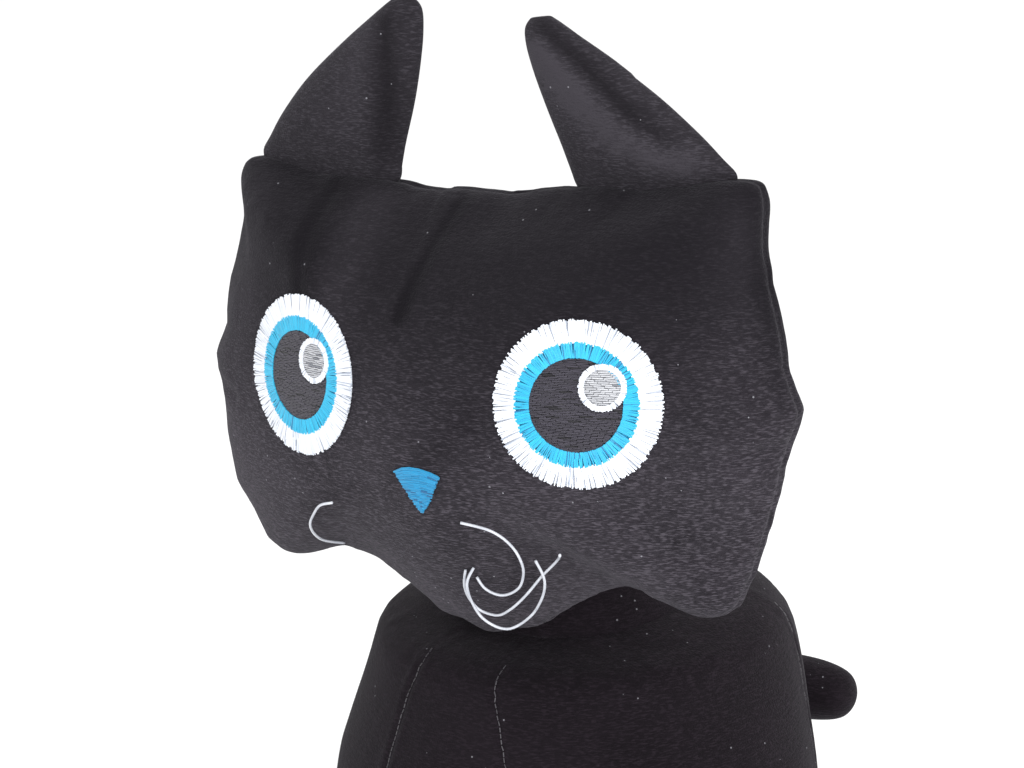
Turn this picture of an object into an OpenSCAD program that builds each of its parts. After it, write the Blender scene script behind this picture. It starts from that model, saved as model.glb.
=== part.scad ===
// Plush cat with a wide pillow head, embroidered eyes and a stuffed body.
// Millimetres. +Z is up, the cat faces -Y, and its own left side is +X.
// The origin is the middle of the base panel, on the surface that the cat rests on.

/* [Head] */
// Height of the chin above the base
chin_height = 90; // [88:1:94]
// How far the head's seam lies in front of the origin
seam_forward = 41; // [40:0.5:43]
// Bulge of the face in front of the seam
face_bulge = 31; // [28:0.5:34]
// Extra height of the muzzle round the nose
muzzle_rise = 4; // [2:0.5:5]
// Bulge of the back of the head behind the seam
back_bulge = 35; // [30:0.5:38]

/* [Eyes and nose] */
// Distance of each eye's centre from the middle of the face
eye_offset = 38.5; // [37:0.5:40]
// Height of the eyes above the chin
eye_height = 68.5; // [66:0.5:71]
// Outer radius of the white embroidered ring
eye_radius = 20; // [17:0.5:21]
// Height of the top of the nose above the chin
nose_top = 50.5; // [48:0.5:52]
// Width of the nose
nose_width = 12.5; // [9:0.5:14]
// Thickness of the embroidery
thread_build = 0.6; // [0.4:0.1:0.8]

/* [Ears] */
// Height of an ear above its base seam
ear_height = 43; // [38:1:45]
// Half of an ear's thickness at its base
ear_half_thick = 6.5; // [5:0.5:7]
// Forward lean of the ear over its height
ear_lean = 5.5; // [2:0.5:8]

/* [Neck and tail] */
// Radius of the stuffed neck
neck_radius = 20; // [18:0.5:20]
// Height of the neck's centre above the chin
neck_rise = 14; // [13:0.5:15]
// How far the neck's centre lies in front of the origin
neck_forward = 6; // [5:0.5:7]
// Radius of the tail
tail_radius = 10; // [8:0.5:10]
// Height of the tail's root above the base
tail_height = 40; // [38:1:44]

/* [Fabric] */
// Thickness of the pile fabric panels
fabric = 1.2; // [1:0.1:1.4]
// Diameter of a whisker
whisker_d = 1; // [0.8:0.1:1.2]

/* [Hidden] */

// Half outline of the head from the chin up to the middle of the crown: [x, height above the chin]
head_half = [
  [0, 0], [13, 3], [23, 9.5], [31, 14.5], [37, 16.5], [43, 16.5], [51, 14], [61, 12], [68, 15.5],
  [72, 23], [75.5, 33], [79, 46], [82, 58], [84.5, 65.5], [81.5, 74], [79, 88], [76, 101],
  [75, 112], [72, 119.5], [60, 119.5], [45, 118], [25, 116], [10, 114.5], [0, 114]
];
head_mid = 64;               // height of the head's middle above the chin
head_steps = 48;             // points round the head's seam
pillow_rings = [0.2, 0.38, 0.53, 0.66, 0.78, 0.88, 0.95, 1];
pillow_power = 0.8;          // how tightly the head's pillow is pinched at its seam
muzzle_height = 44;          // height of the muzzle's middle above the chin
muzzle_spread = 17;
seam_half = 0.8;             // half the thickness of the head's seam
gap = 0.1;                   // half the gap between two panels at a seam

// Stations of the body: [height, half width, front y, back y, taper, tilt]
body_stations = [
  [0, 58, -54, 54, 0, 0], [5, 64, -59, 59, 0, 0], [16, 68, -62, 62, 0, 0],
  [30, 68.5, -62.5, 61.5, 0, 0], [45, 66.5, -62, 61.5, 0.02, 0], [60, 63, -61, 61.5, 0.05, 0],
  [72, 58.5, -59.5, 61.5, 0.06, 0.5], [79, 55.5, -57, 60, 0.05, 1], [84, 53, -53, 58, 0.03, 1.5],
  [88, 49, -46.5, 54, 0, 3], [91, 41, -36, 45, 0, 4.5], [93, 24, -29.5, 19, 0, 2.5]
];
gusset_half = [24, 24, 23, 22, 20, 18, 16, 14, 13, 13, 13, 13];  // half angle of the chest gusset
back_seam = 110;             // angle of the back panel's seams from the front
seam_gap = 0.35;             // half the angle left between two body panels
shoulder_sink = [[76, 0], [91, 0.95]];  // share of an inset that goes downward, by height
body_steps = 40;             // points round the body's stuffing

neck_mid = [0, -neck_forward, chin_height + neck_rise];
socket_radius = neck_radius + 1.8;
iris_share = 0.73;           // outer radius of the blue ring, as a share of the white ring's
pupil_share = 0.56;
shine_share = 0.28;
shine_shift = [0.31, 0.18];  // place of the highlight, as a share of the white ring's radius
eye_turn = 17;               // angle by which the face turns away at each eye
embroidery_lift = 0.3;
stuffing_gap = 0.4;          // gap between a panel and the stuffing inside it

// Ear stations: [height above the base seam, inner edge, outer edge, half thickness]
ear_inner = -22;
ear_outer = 21;
ear_axis_height = ear_half_thick + 0.9;
ear_base = [47, 118.3];      // middle of the left ear's base: [x, height above the chin]
ear_tilt = 5.8;              // slope of the ear's base seam
ear_shape = [
  [0.25, -24.2, 14, 7], [0.47, -26.5, 6, 6], [0.7, -28.5, -5, 4.6],
  [0.86, -29, -13.5, 3.4], [0.95, -28.5, -18.5, 2.2], [1, -26.5, -21.5, 0.9]
];
ear_root = [for (a = [70, 45, 20, 0]) let (w = ear_axis_height - ear_half_thick * sin(a))
  [w, ear_inner - 0.2 * w, ear_outer - 0.62 * w, ear_half_thick * cos(a)]];
ear_stations = concat(ear_root, [for (s = ear_shape) [s[0] * ear_height, s[1], s[2], s[3]]]);
ear_edge = 0.7;              // half the thickness of the ear's edge seam
ear_slices = 10;             // points across an ear

// Middle line of the tail after its round root: [x, y]
tail_line = [[4, 72.5], [9, 78.5], [15.5, 83.5], [23, 86.5], [31, 87.5], [38.5, 87]];
tail_sizes = [1, 1, 1, 0.98, 0.93, 0.82];
tail_sides = 16;

// Whisker routes: [x towards the cat's own side, height above the chin, lift from the face]
left_whiskers = [
  [[6.5, 21, 0], [8.5, 18, 2], [12.5, 16.5, 3], [17.5, 19.5, 3.5], [20.5, 25.5, 3.5], [20, 31.5, 3],
   [16.5, 36, 2.5], [9.5, 38, 2]],
  [[4.5, 23, 0], [3, 18.5, 1.5], [2.5, 14, 2], [4.5, 10.5, 3], [9, 10, 4], [14, 13, 5],
   [19.5, 18, 5.5], [25, 24, 5], [33, 31.5, 4]],
  [[7, 24, 0], [5.5, 20, 3.5], [4.5, 14, 4.5], [6, 8.5, 6], [11, 6.5, 7], [17, 10, 7.5],
   [22.5, 16, 8], [26, 23, 7.5], [26, 29, 6.5]]
];
right_whiskers = [
  [[15, 21, 0], [18.5, 19.5, 1.5], [26, 17, 3], [34, 15.5, 4], [40.5, 17.5, 3.5], [43, 22, 2.5],
   [41.5, 27.5, 2], [38, 32, 1.5], [34, 35.5, 1.5], [29.5, 37, 1.5]]
];
whisker_sides = 6;

// ---- Small helpers ----

function flat(lists) = [for (l = lists) for (v = l) v];
function turned(row) = [for (i = [len(row) - 1 : -1 : 0]) row[i]];
function curve(a, b, c, d, t) =
  0.5 * (2 * b + (c - a) * t + (2 * a - 5 * b + 4 * c - d) * t * t + (3 * b - a - 3 * c + d) * t * t * t);

// A smooth line through points, with n steps between neighbours
function smooth(points, n) = let (last = len(points) - 1)
  [for (i = [0 : last - 1]) for (k = [0 : n - 1])
     curve(points[max(0, i - 1)], points[i], points[i + 1], points[min(last, i + 2)], k / n),
   points[last]];

// The stations' columns at any height, joined by straight lines
function column(stations, c, key) = lookup(key, [for (s = stations) [s[0], s[c]]]);

// Triangles between two rows of points, open or closed into a ring
function strip(a, b, n, closed) = flat([for (i = [0 : n - (closed ? 1 : 2)]) let (j = (i + 1) % n)
  [[a + i, a + j, b + i], [a + j, b + j, b + i]]]);

// A closed solid through rings of n points that run clockwise when seen from the last ring's side
module loft(rings) {
  n = len(rings[0]);
  m = len(rings);
  first = m * n;
  middle = function (ring) [for (c = [0 : 2]) [for (p = ring) 1] * [for (p = ring) p[c]] / n];
  polyhedron(
    points = concat(flat(rings), [middle(rings[0]), middle(rings[m - 1])]),
    faces = concat(
      flat([for (k = [0 : m - 2]) strip(k * n, (k + 1) * n, n, true)]),
      [for (i = [0 : n - 1]) [first, (i + 1) % n, i]],
      [for (i = [0 : n - 1]) [first + 1, (m - 1) * n + i, (m - 1) * n + (i + 1) % n]]
    ),
    convexity = 6
  );
}

// A thin panel between an outer and an inner grid of points of the same size
module panel(outer, inner) {
  m = len(outer);
  n = len(outer[0]);
  half = m * n;
  row_rim = function (k, turned) [for (i = [0 : n - 2]) let (a = k * n + i)
    each turned ? [[a, a + 1, half + a], [a + 1, half + a + 1, half + a]]
                : [[a + 1, a, half + a], [a + 1, half + a, half + a + 1]]];
  side_rim = function (i, turned) [for (k = [0 : m - 2]) let (a = k * n + i, b = a + n)
    each turned ? [[b, a, half + a], [b, half + a, half + b]]
                : [[a, b, half + a], [b, half + b, half + a]]];
  polyhedron(
    points = concat(flat(outer), flat(inner)),
    faces = concat(
      flat([for (k = [0 : m - 2]) [for (f = strip(k * n, (k + 1) * n, n, false)) [f[0], f[2], f[1]]]]),
      flat([for (k = [0 : m - 2]) strip(half + k * n, half + (k + 1) * n, n, false)]),
      row_rim(0, true), row_rim(m - 1, false),
      side_rim(0, true), side_rim(n - 1, false)
    ),
    convexity = 6
  );
}

// A thin closed dome between two sets of rings, each with a middle point
module dome(outer_mid, outer, inner_mid, inner) {
  m = len(outer);
  n = len(outer[0]);
  half = m * n;
  top = 2 * half;
  polyhedron(
    points = concat(flat(outer), flat(inner), [outer_mid, inner_mid]),
    faces = concat(
      flat([for (k = [0 : m - 2]) strip(k * n, (k + 1) * n, n, true)]),
      flat([for (k = [0 : m - 2])
        [for (f = strip(half + k * n, half + (k + 1) * n, n, true)) [f[0], f[2], f[1]]]]),
      strip((m - 1) * n, half + (m - 1) * n, n, true),
      [for (i = [0 : n - 1]) [top, (i + 1) % n, i]],
      [for (i = [0 : n - 1]) [top + 1, half + i, half + (i + 1) % n]]
    ),
    convexity = 6
  );
}

// A thin ring between an outer and an inner surface, each a list of closed rings
module band(outer, inner) {
  m = len(outer);
  n = len(outer[0]);
  half = m * n;
  polyhedron(
    points = concat(flat(outer), flat(inner)),
    faces = concat(
      flat([for (k = [0 : m - 2]) strip(k * n, (k + 1) * n, n, true)]),
      flat([for (k = [0 : m - 2])
        [for (f = strip(half + k * n, half + (k + 1) * n, n, true)) [f[0], f[2], f[1]]]]),
      strip((m - 1) * n, half + (m - 1) * n, n, true),
      [for (f = strip(0, half, n, true)) [f[0], f[2], f[1]]]
    ),
    convexity = 6
  );
}

// ---- Head ----

head_edge = smooth(head_half, 3);
head_polar = [for (p = head_edge) [atan2(p[1] - head_mid, p[0]), norm([p[0], p[1] - head_mid])]];

// Radius of the head's seam in a direction, the same on both sides
function head_reach(a) = lookup(asin(sin(a)), head_polar);
function pillow(s) = pow(max(0, 1 - s * s), pillow_power);
function share_at(x, h) = min(1, norm([x, h - head_mid]) / head_reach(atan2(h - head_mid, x)));

function muzzle_at(x, h) =
  muzzle_rise * exp(-(x * x + pow(h - muzzle_height, 2)) / (2 * muzzle_spread * muzzle_spread));

// How far the face stands in front of the seam at x and height h above the chin
function face_at(x, h) = let (s = share_at(x, h))
  seam_half + face_bulge * pillow(s) + muzzle_at(x, h) * pillow(s);

// Room that the neck leaves behind the seam
function neck_room(x, h) = let (r = norm([x, h - neck_rise]))
  r < socket_radius ? seam_forward - neck_forward - sqrt(socket_radius * socket_radius - r * r) : 1000;

function front_point(x, h, out) = [x, -seam_forward - out, chin_height + h];
function back_point(x, h, out) = [x, -seam_forward + min(out, neck_room(x, h)), chin_height + h];

// Points of one closed ring at share s of the seam
function head_ring(s) = [for (i = [0 : head_steps - 1]) let (a = 360 * i / head_steps, r = s * head_reach(a))
  [r * cos(a), head_mid + r * sin(a)]];
function face_ring(s, edge, bulge) = [for (p = head_ring(s))
  front_point(p[0], p[1], edge + (bulge + muzzle_at(p[0], p[1])) * pillow(s))];
function back_ring(s, edge, bulge, skin) = [for (p = head_ring(s))
  let (q = back_point(p[0], p[1], edge + skin + bulge * pillow(s))) [q[0], q[1] - skin, q[2]]];

module face_panel() {
  color("#262329")
    dome(front_point(0, head_mid, face_at(0, head_mid)),
         [for (s = pillow_rings) face_ring(s, seam_half, face_bulge)],
         front_point(0, head_mid, face_at(0, head_mid) + gap - fabric),
         [for (s = pillow_rings) face_ring(s, gap, face_bulge - fabric + seam_half)]);
}

module head_back_panel() {
  inner_bulge = back_bulge - fabric + seam_half;
  color("#262329")
    dome(back_point(0, head_mid, seam_half + back_bulge),
         [for (s = pillow_rings) turned(back_ring(s, seam_half, back_bulge, 0))],
         back_point(0, head_mid, gap + inner_bulge),
         [for (s = pillow_rings) turned(back_ring(s, gap, inner_bulge, s < 0.97 ? fabric - 0.5 : 0))]);
}

module head_stuffing() {
  inset = 0.982;
  front_bulge = face_bulge - fabric + seam_half - 0.5;
  rear_bulge = back_bulge - fabric + seam_half - 1.2;
  rings = [for (i = [len(pillow_rings) - 1 : -1 : 0]) pillow_rings[i]];
  shrink = function (ring) [for (p = ring)
    [p[0] * inset, p[1], chin_height + head_mid + (p[2] - chin_height - head_mid) * inset]];
  color("ivory")
    loft(concat(
      [for (s = pillow_rings) shrink(face_ring(s, 0, front_bulge))],
      [for (s = rings) if (s < 1) shrink(back_ring(s, 0, rear_bulge, fabric + stuffing_gap))]
    ));
}

// ---- Embroidery on the face ----

// side is 1 for the cat's left eye and -1 for its right
function eye_point(side, r, a, out, shift = [0, 0]) =
  let (x = side * eye_offset + (r * cos(a) + shift[0]) * cos(eye_turn),
       h = eye_height + r * sin(a) + shift[1])
  front_point(x, h, face_at(x, h) + out);
function eye_ring(side, r, out, shift = [0, 0]) =
  [for (i = [0 : 31]) eye_point(side, r, 360 * i / 32, out, shift)];

module eye_band(side, r_in, r_out, rise) {
  radii = [r_in, (r_in + r_out) / 2, r_out];
  band([for (r = radii) eye_ring(side, r, embroidery_lift + rise)],
       [for (r = radii) eye_ring(side, r, embroidery_lift)]);
}

module eye_white(side) {
  color("white") eye_band(side, eye_radius * iris_share + 0.1, eye_radius, thread_build);
}

module eye_iris(side) {
  color("#38a8d8") eye_band(side, eye_radius * pupil_share + 0.1, eye_radius * iris_share, thread_build);
}

module eye_disc(side, r, low, high, shift = [0, 0]) {
  dome(eye_point(side, 0, 0, high, shift), [for (q = [0.5, 1]) eye_ring(side, r * q, high, shift)],
       eye_point(side, 0, 0, low, shift), [for (q = [0.5, 1]) eye_ring(side, r * q, low, shift)]);
}

module eye_pupil(side) {
  color("#2c2a33") eye_disc(side, eye_radius * pupil_share, embroidery_lift, embroidery_lift + thread_build);
}

module eye_highlight(side) {
  low = embroidery_lift + thread_build + 0.15;
  color("#b8b8bc") eye_disc(side, eye_radius * shine_share, low, low + 0.5, eye_radius * shine_shift);
}

module nose_embroidery() {
  top = nose_top - 1.5;
  height = 9.5;
  steps = 6;
  grid = function (out) [for (v = [0 : steps]) [for (u = [steps / 2 : -1 : -steps / 2])
    let (q = v / steps, side = 2 * u / steps,
         x = side * nose_width / 2 * (1 - q) * (1 + 0.35 * q) + side * 0.3,
         h = top - height * q + 1.5 * (1 - side * side) * (1 - q))
    front_point(x, h, face_at(x, h) + out)]];
  color("#35a4db") panel(grid(embroidery_lift + thread_build), grid(embroidery_lift));
}

// ---- Whiskers ----

function unit(v) = v / max(norm(v), 0.0001);

// Rings of a thin round thread along points
function thread_rings(points, d) = let (last = len(points) - 1)
  [for (i = [0 : last])
    let (along = unit(points[min(last, i + 1)] - points[max(0, i - 1)]),
         side = unit(cross(along, [0.2, 1, 0.1])),
         up = cross(side, along))
    [for (k = [0 : whisker_sides - 1]) let (a = 360 * k / whisker_sides)
      points[i] + d / 2 * (cos(a) * side + sin(a) * up)]];

module whiskers(side) {
  color("whitesmoke")
    for (route = side > 0 ? left_whiskers : right_whiskers)
      let (points = [for (p = smooth(route, 2))
             front_point(side * p[0], p[1], face_at(p[0], p[1]) + whisker_d * 0.8 + p[2])])
        loft(thread_rings(points, whisker_d));
}

// ---- Neck ----

module neck_stuffing() {
  color("#1e1a20") translate(neck_mid) sphere(r = neck_radius, $fn = 64);
}

// ---- Ears ----

// A point of the left ear: u along its base, w up from its base seam, out from its middle plane
function ear_point(u, w, out) = [
  ear_base[0] + u * cos(ear_tilt) - w * sin(ear_tilt),
  -seam_forward - ear_lean * w / ear_height + out,
  chin_height + ear_base[1] + u * sin(ear_tilt) + w * cos(ear_tilt)
];
function lens(q) = pow(max(0, 1 - q * q), 0.6);

// One side of the ear as a grid, where way is -1 for the front and 1 for the back
function ear_grid(way, edge, thinner, inset) =
  [for (s = ear_stations) [for (i = [0 : ear_slices])
    let (q = 2 * i / ear_slices - 1,
         u = (s[1] + s[2]) / 2 + q * ((s[2] - s[1]) / 2 - inset))
    ear_point(u, s[0], way * (min(edge, s[3] * 0.4) + max(0, s[3] - thinner) * lens(q)))]];

module ear_panel(way) {
  outer = ear_grid(way, ear_edge, ear_edge, 0);
  inner = ear_grid(way, gap, ear_edge + 0.7, 0);
  if (way < 0) panel(outer, inner);
  else panel([for (row = outer) turned(row)], [for (row = inner) turned(row)]);
}

module ear_batting() {
  front = ear_grid(-1, 0.02, ear_edge + 1.0, 1.2);
  rear = ear_grid(1, 0.02, ear_edge + 1.0, 1.2);
  rows = [for (k = [1 : len(front) - 3]) k];
  loft([for (k = rows) concat(turned(front[k]), rear[k])]);
}

module on_side(side) {
  if (side > 0) children();
  else mirror([1, 0, 0]) children();
}

module ear_front(side) { color("#312e35") on_side(side) ear_panel(-1); }
module ear_back(side) { color("#262329") on_side(side) ear_panel(1); }
module ear_filling(side) { color("ivory") on_side(side) ear_batting(); }

// ---- Body ----

// A point of the body at height z and angle a from the front, positive towards the cat's left
function body_point(z, a, inset) =
  let (w = column(body_stations, 1, z) - inset,
       front = column(body_stations, 2, z) + inset,
       rear = column(body_stations, 3, z) - inset,
       taper = column(body_stations, 4, z),
       mid = (front + rear) / 2)
  [w * sin(a) * (1 - taper * cos(a)),
   mid - (rear - front) / 2 * cos(a),
   z - column(body_stations, 5, z) * cos(a) - inset * lookup(z, shoulder_sink)];

panel_heights = [1.6, 5, 10, 16, 23, 30, 38, 45, 53, 60, 66, 72, 76, 79, 82, 84, 86, 88, 89.5, 91, 92, 93];
function gusset_at(z) =
  lookup(z, [for (i = [0 : len(body_stations) - 1]) [body_stations[i][0], gusset_half[i]]]);

// A body panel between two angles that may change with height
module body_panel(from, to, columns) {
  grid = function (inset) [for (z = panel_heights) [for (i = [0 : columns])
    body_point(z, from(z) + (to(z) - from(z)) * i / columns, inset)]];
  panel(grid(0), grid(fabric));
}

module body_side(side) {
  color("#1e1a20") on_side(side)
    body_panel(function (z) gusset_at(z) + seam_gap, function (z) back_seam - seam_gap, 9);
}

module chest_gusset() {
  color("#242026") body_panel(function (z) -gusset_at(z) + seam_gap, function (z) gusset_at(z) - seam_gap, 6);
}

module back_panel() {
  color("#1a171c") body_panel(function (z) back_seam + seam_gap, function (z) 360 - back_seam - seam_gap, 14);
}

module base_panel() {
  ring = function (z) [for (i = [0 : body_steps - 1]) let (p = body_point(0, -360 * i / body_steps, 1.5))
    [p[0], p[1], z]];
  color("#1a171c")
    loft([ring(0), ring(1.3)]);
}

// The stuffing fills the body up to the socket that holds the neck
module body_stuffing() {
  heights = [1.8, 5, 10, 16, 23, 30, 45, 60, 72, 79, 84, 88, 91, 92.6];
  wall = [for (z = heights)
    [for (i = [0 : body_steps - 1]) body_point(z, -360 * i / body_steps, fabric + stuffing_gap)]];
  socket = [for (r = [17, 12, 6]) [for (i = [0 : body_steps - 1]) let (a = -360 * i / body_steps)
    neck_mid + [r * sin(a), -r * cos(a), -sqrt(socket_radius * socket_radius - r * r)]]];
  color("ivory") loft(concat(wall, socket));
}

// ---- Paws ----

// Nearest that a paw may come to the body at x and height z
function chest_y(x, z) =
  let (w = column(body_stations, 1, z), taper = column(body_stations, 4, z),
       a1 = asin(min(0.98, abs(x) / w)),
       a2 = asin(min(0.98, abs(x) / (w * (1 - taper * cos(a1))))),
       a3 = asin(min(0.98, abs(x) / (w * (1 - taper * cos(a2))))))
  body_point(z, a3, 0)[1];

// A rounded paw with a flat sole that is shaped to the body behind it
module paw(x, y, half_w, half_l, height) {
  levels = [0, 0.04, 0.2, 0.42, 0.65, 0.83, 0.94, 0.99];
  sole = [for (v = levels) v < 0.02 ? 0.86 : (v < 0.1 ? 0.95 : pow(1 - pow(v, 2.6), 0.5))];
  sides = 28;
  rings = [for (k = [0 : len(levels) - 1]) let (z = levels[k] * height)
    [for (i = [0 : sides - 1])
      let (a = -360 * i / sides,
           px = x + half_w * sole[k] * sin(a),
           py = y - half_l * sole[k] * cos(a))
      [px, min(py, chest_y(px, z) - 0.4), z]]];
  loft(rings);
}

module front_paw(side) { color("#1e1a20") on_side(side) paw(22, -60, 15, 23, 24); }
module hind_paw(side) { color("#1e1a20") on_side(side) paw(58, -48, 11.5, 20, 20); }

// ---- Tail ----

tail_path = smooth(tail_line, 2);
tail_scale = smooth(tail_sizes, 2);

// Rings across the tail. The root is half a ball about the joint, and the tip is rounded.
function tail_rings(inset) =
  let (r = tail_radius - inset, last = len(tail_path) - 1,
       heading = function (i) unit(tail_path[min(last, i + 1)] - tail_path[max(0, i - 1)]),
       across = function (d) [d[1], -d[0]],
       ring = function (mid, d, size) [for (k = [0 : tail_sides - 1])
         let (a = 360 * k / tail_sides, s = across(d))
         [mid[0] + s[0] * size * cos(a), mid[1] + s[1] * size * cos(a), tail_height + size * sin(a)]],
       first = heading(0), end = heading(last), tip_r = r * tail_scale[last])
  concat(
    [for (a = [78, 52, 26]) ring(tail_path[0] - first * r * sin(a), first, r * cos(a))],
    [for (i = [0 : last]) ring(tail_path[i], heading(i), r * tail_scale[i])],
    [for (a = [30, 55, 78]) ring(tail_path[last] + end * tip_r * sin(a), end, tip_r * cos(a))]
  );

// Half of the tail's skin, from the seam at the side over the top or under the bottom
module tail_panel(upper) {
  half = tail_sides / 2;
  pick = function (rings) [for (ring = rings) [for (k = [0 : half])
    let (p = ring[(k + (upper ? 0 : half)) % tail_sides]) p + [0, 0, upper ? gap : -gap]]];
  panel([for (row = pick(tail_rings(0))) turned(row)],
        [for (row = pick(tail_rings(fabric))) turned(row)]);
}

module tail_upper_panel() { color("#29242b") tail_panel(true); }
module tail_lower_panel() { color("#1e1a20") tail_panel(false); }
module tail_stuffing() { color("ivory") loft(tail_rings(fabric + 0.5)); }

body_side(1);  // body_side_left
body_side(-1);  // body_side_right
chest_gusset();
back_panel();
base_panel();
body_stuffing();
front_paw(1);  // front_paw_left
front_paw(-1);  // front_paw_right
hind_paw(1);  // hind_paw_left
hind_paw(-1);  // hind_paw_right
neck_stuffing();
face_panel();
head_back_panel();
head_stuffing();
eye_white(1);  // eye_white_left
eye_white(-1);  // eye_white_right
eye_iris(1);  // eye_iris_left
eye_iris(-1);  // eye_iris_right
eye_pupil(1);  // eye_pupil_left
eye_pupil(-1);  // eye_pupil_right
eye_highlight(1);  // eye_highlight_left
eye_highlight(-1);  // eye_highlight_right
nose_embroidery();
whiskers(1);  // whiskers_left
whiskers(-1);  // whiskers_right
ear_front(1);  // ear_left_front
ear_back(1);  // ear_left_back
ear_filling(1);  // ear_left_batting
ear_front(-1);  // ear_right_front
ear_back(-1);  // ear_right_back
ear_filling(-1);  // ear_right_batting
tail_upper_panel();
tail_lower_panel();
tail_stuffing();
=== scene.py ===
"""Black plush cat: pillow head, stuffed body, embroidered eyes and nose, nylon whiskers."""

import logging
import math
from dataclasses import dataclass
from enum import Enum
from typing import Callable, Sequence

import bmesh
import bpy
import numpy as np
from mathutils import Matrix, Vector
from mathutils.bvhtree import BVHTree

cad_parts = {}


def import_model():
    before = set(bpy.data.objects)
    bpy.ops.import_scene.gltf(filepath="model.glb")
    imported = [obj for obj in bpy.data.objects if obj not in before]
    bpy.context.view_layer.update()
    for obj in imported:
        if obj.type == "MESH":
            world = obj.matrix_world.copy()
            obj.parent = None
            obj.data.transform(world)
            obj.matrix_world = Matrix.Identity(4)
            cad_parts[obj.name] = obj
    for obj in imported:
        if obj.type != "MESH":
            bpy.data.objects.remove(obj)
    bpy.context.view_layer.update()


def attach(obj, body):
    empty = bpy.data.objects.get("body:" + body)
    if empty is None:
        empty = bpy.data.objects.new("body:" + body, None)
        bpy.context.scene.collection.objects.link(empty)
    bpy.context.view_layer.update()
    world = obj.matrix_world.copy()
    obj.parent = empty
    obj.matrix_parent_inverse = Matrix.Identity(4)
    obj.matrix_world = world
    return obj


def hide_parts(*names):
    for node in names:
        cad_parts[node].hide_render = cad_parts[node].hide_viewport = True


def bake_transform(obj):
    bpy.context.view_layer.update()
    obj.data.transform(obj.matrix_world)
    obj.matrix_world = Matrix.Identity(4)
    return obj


LOG = logging.getLogger("plush_cat")
MM = 0.001
CHIN = 90  # Height of the chin above the base, in millimetres.
SEAM = -41  # How far forward the head's seam lies, as y in millimetres.
FILL_PRESSURE = 4
FILL_FRAMES = 20
CLOTH_QUALITY = 6

Colour = tuple[float, float, float]
Points = list[tuple[float, float, float]]
Line = Sequence[tuple[float, float]]
Band = tuple[Line, float, float]
Socket = bpy.types.NodeSocket


class Side(Enum):
    """The cat's own sides, as the sign of X."""

    LEFT = 1
    RIGHT = -1

    @property
    def word(self) -> str:
        """The side's name as the nodes spell it."""
        return self.name.lower()


# ---- Finishes ----


def new_material(name: str, roughness: float) -> tuple[bpy.types.Material, bpy.types.Node]:
    """A new material and its main shader.

    Args:
        name: The material's name.
        roughness: How rough its surface is.

    Returns:
        The material and its Principled BSDF.
    """
    material = bpy.data.materials.new(name)
    material.use_nodes = True
    shader = material.node_tree.nodes["Principled BSDF"]
    shader.inputs["Roughness"].default_value = roughness
    return material, shader


def colour_mix(tree: bpy.types.NodeTree) -> tuple[Socket, Socket, Socket, Socket]:
    """A new node that mixes two colours.

    Args:
        tree: The node tree that gets it.

    Returns:
        Its factor, its first and second colour and its result.
    """
    mix = tree.nodes.new("ShaderNodeMix")
    mix.data_type = "RGBA"
    # Colour sockets share their names with the float ones, so they are picked by type.
    first, second = (socket for socket in mix.inputs if socket.type == "RGBA")
    mixed = next(socket for socket in mix.outputs if socket.type == "RGBA")
    return mix.inputs[0], first, second, mixed


@dataclass(frozen=True)
class PileFinish:
    """Short pile fabric: a dark ground, a paler nap and a soft sheen."""

    name: str
    slot: str
    ground: Colour
    nap: Colour
    sheen: float = 0.08
    # Between these heights the nap is painted darker towards the top, as painted shade, down to the share
    # left.
    brush_low: float = 0.13
    brush_high: float = 0.19
    brushed: float = 0.12

    def material(self) -> bpy.types.Material:
        """Build the fabric's material once.

        Returns:
            The fabric's material.
        """
        found = bpy.data.materials.get(self.name)
        if found:
            return found
        material, shader = new_material(self.name, 0.92)
        nodes, links = material.node_tree.nodes, material.node_tree.links
        shader.inputs["Specular IOR Level"].default_value = 0.12
        shader.inputs["Sheen Weight"].default_value = self.sheen
        shader.inputs["Sheen Roughness"].default_value = 0.45
        shader.inputs["Sheen Tint"].default_value = (0.85, 0.82, 0.92, 1)
        pile = nodes.new("ShaderNodeGroup")
        pile.node_tree = pile_group()
        pile.inputs["Ground"].default_value = (*self.ground, 1)
        pile.inputs["Nap"].default_value = (*self.nap, 1)
        pile.inputs["Brush Low"].default_value = self.brush_low
        pile.inputs["Brush High"].default_value = self.brush_high
        pile.inputs["Brushed"].default_value = self.brushed
        # Bands of painted highlight and painted shade, read from the mesh's attribute.
        lay = nodes.new("ShaderNodeAttribute")
        lay.attribute_name = "lay"
        links.new(lay.outputs["Fac"], pile.inputs["Lay"])
        bump = nodes.new("ShaderNodeBump")
        bump.inputs["Strength"].default_value = 0.55
        bump.inputs["Distance"].default_value = 0.0006
        links.new(pile.outputs["Color"], shader.inputs["Base Color"])
        links.new(pile.outputs["Height"], bump.inputs["Height"])
        links.new(bump.outputs["Normal"], shader.inputs["Normal"])
        return material


@dataclass(frozen=True)
class ThreadFinish:
    """Glossy embroidery thread that varies from stitch to stitch."""

    name: str
    slot: str
    dark: Colour
    light: Colour

    def material(self) -> bpy.types.Material:
        """Build the thread's material once.

        Returns:
            The thread's material.
        """
        found = bpy.data.materials.get(self.name)
        if found:
            return found
        material, shader = new_material(self.name, 0.42)
        nodes, links = material.node_tree.nodes, material.node_tree.links
        shader.inputs["Sheen Weight"].default_value = 0.15
        shade = nodes.new("ShaderNodeAttribute")
        shade.attribute_name = "shade"
        factor, dark, light, mixed = colour_mix(material.node_tree)
        dark.default_value = (*self.dark, 1)
        light.default_value = (*self.light, 1)
        links.new(shade.outputs["Fac"], factor)
        links.new(mixed, shader.inputs["Base Color"])
        return material


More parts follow.
